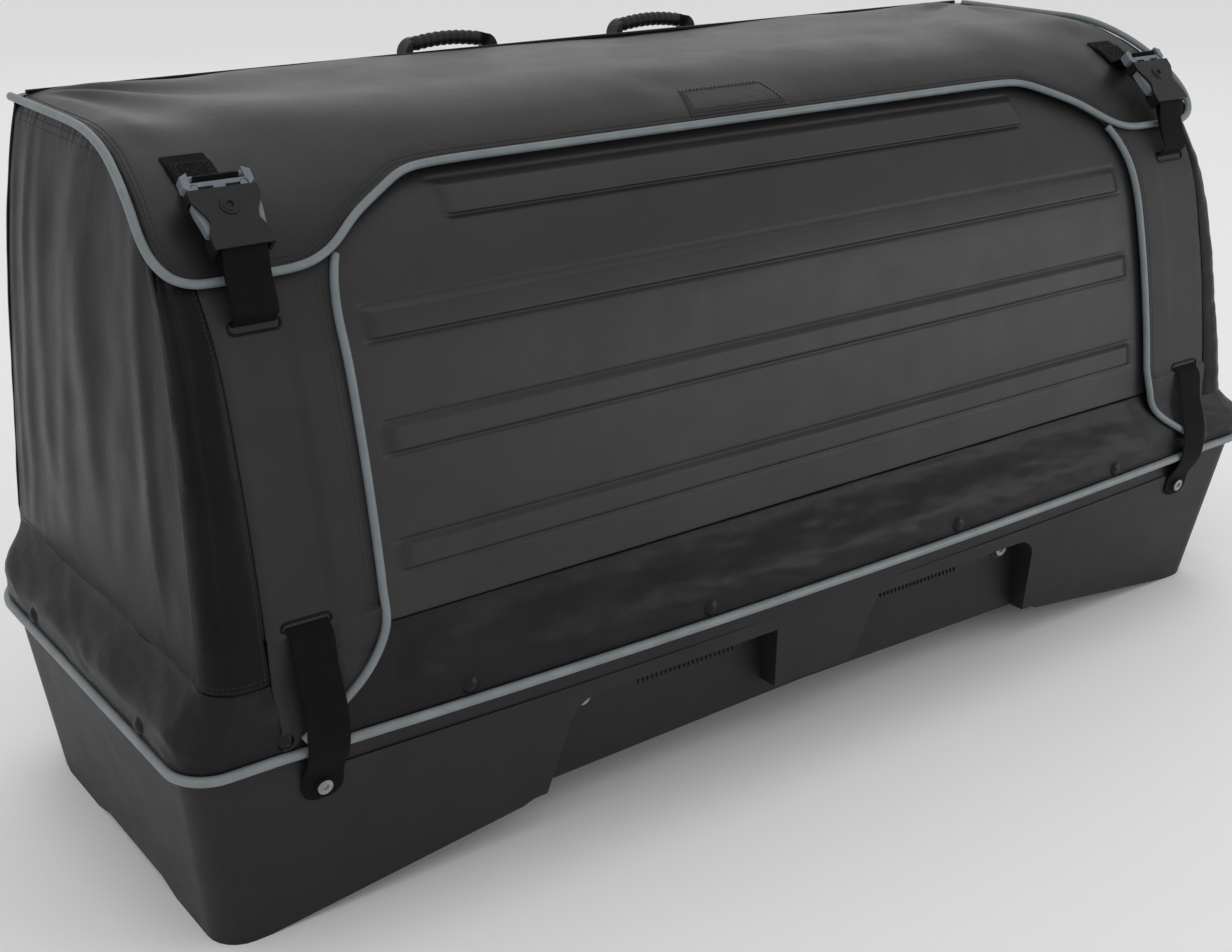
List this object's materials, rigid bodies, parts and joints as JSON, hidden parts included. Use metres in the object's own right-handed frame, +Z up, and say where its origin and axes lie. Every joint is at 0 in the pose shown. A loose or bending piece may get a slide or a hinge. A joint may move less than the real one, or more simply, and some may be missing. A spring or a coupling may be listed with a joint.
{
  "type": "hitch cargo carrier",
  "caption": "Soft-topped cargo box on a moulded tub, with a flap lid, folding ribbed front panel, buckled straps and ladder straps for a hitch platform.",
  "frame": {"origin": "on the ground under the middle of the overall box", "axes": "+X along the length, to the right when facing the front; -Y is the front with the flap lid; +Z is up"},
  "size_m": [1.3584, 0.5064, 0.6638],
  "materials": {
    "tub_plastic": "moulded fine texture",
    "fabric": "coated tarpaulin",
    "panel_plastic": "satin fine grain",
    "board": "hidden stiffener",
    "piping": "satin grey binding",
    "webbing": "fine woven polyester",
    "buckle_black": "satin acetal",
    "buckle_grey": "satin acetal",
    "steel": "satin steel",
    "rod": "black coated rod"
  },
  "bodies": {
    "carrier": {"tub": "tub_plastic", "front_rivets": "tub_plastic", "side_rivets": "tub_plastic", "rear_rivets": "tub_plastic", "left_handle": "tub_plastic", "right_handle": "tub_plastic", "skirt": "fabric", "left_wall": "fabric", "right_wall": "fabric", "rear_wall": "fabric", "left_corner_panel": "fabric", "right_corner_panel": "fabric", "hinge_bead": "fabric", "rear_board": "board", "hem_piping": "piping", "left_panel_piping": "piping", "right_panel_piping": "piping", "left_lower_strap": "webbing", "right_lower_strap": "webbing", "left_buckle_housing": "buckle_black", "right_buckle_housing": "buckle_black", "left_buckle_stud": "buckle_black", "right_buckle_stud": "buckle_black", "handle_screws": "steel", "left_strap_bolt": "steel", "right_strap_bolt": "steel", "strap_nuts": "steel", "left_ladder_bolt": "steel", "right_ladder_bolt": "steel", "ladder_nuts": "steel", "left_hoop": "rod", "right_hoop": "rod"},
    "flap_lid": {"lid": "fabric", "lid_board": "board", "lid_piping": "piping", "lid_patch": "fabric", "left_upper_strap": "webbing", "right_upper_strap": "webbing", "left_buckle_frame": "buckle_grey", "right_buckle_frame": "buckle_grey"},
    "fold_panel": {"front_panel": "panel_plastic"},
    "left_outer_prong": {"left_outer_prong": "buckle_grey"},
    "left_inner_prong": {"left_inner_prong": "buckle_grey"},
    "right_outer_prong": {"right_outer_prong": "buckle_grey"},
    "right_inner_prong": {"right_inner_prong": "buckle_grey"},
    "left_ladder_strap": {"left_ladder_strap": "tub_plastic"},
    "right_ladder_strap": {"right_ladder_strap": "tub_plastic"}
  },
  "joints": [
    {"name": "lid_hinge", "type": "hinge", "parent": "carrier", "child": "flap_lid", "pos_m": [0, 0.207, 0.65277], "axis": [-1, 0, 0], "range_deg": [0, 105]},
    {"name": "panel_fold", "type": "hinge", "parent": "carrier", "child": "fold_panel", "pos_m": [0, -0.2137, 0.267], "axis": [-1, 0, 0], "range_deg": [0, 65]},
    {"name": "left_outer_prong_squeeze", "type": "hinge", "parent": "flap_lid", "child": "left_outer_prong", "pos_m": [-0.5765, -0.11761, 0.61889], "axis": [0, -0.7193, 0.6947], "range_deg": [0, 6], "stiffness_Nm_per_rad": 0.3, "springref_deg": -2.86},
    {"name": "left_inner_prong_squeeze", "type": "hinge", "parent": "flap_lid", "child": "left_inner_prong", "pos_m": [-0.5355, -0.11761, 0.61889], "axis": [0, 0.7193, -0.6947], "range_deg": [0, 6], "stiffness_Nm_per_rad": 0.3, "springref_deg": -2.86},
    {"name": "right_outer_prong_squeeze", "type": "hinge", "parent": "flap_lid", "child": "right_outer_prong", "pos_m": [0.5765, -0.11761, 0.61889], "axis": [0, 0.7193, -0.6947], "range_deg": [0, 6], "stiffness_Nm_per_rad": 0.3, "springref_deg": -2.86},
    {"name": "right_inner_prong_squeeze", "type": "hinge", "parent": "flap_lid", "child": "right_inner_prong", "pos_m": [0.5355, -0.11761, 0.61889], "axis": [0, -0.7193, 0.6947], "range_deg": [0, 6], "stiffness_Nm_per_rad": 0.3, "springref_deg": -2.86},
    {"name": "left_ladder_swing", "type": "hinge", "parent": "carrier", "child": "left_ladder_strap", "pos_m": [-0.281, -0.197, 0.127], "axis": [0, 1, 0], "range_deg": [0, 75]},
    {"name": "right_ladder_swing", "type": "hinge", "parent": "carrier", "child": "right_ladder_strap", "pos_m": [0.281, -0.197, 0.127], "axis": [0, -1, 0], "range_deg": [0, 75]}
  ],
  "couplings": [
    {"joint": "left_inner_prong_squeeze", "follows": "left_outer_prong_squeeze", "ratio": 1},
    {"joint": "right_inner_prong_squeeze", "follows": "right_outer_prong_squeeze", "ratio": 1}
  ]
}
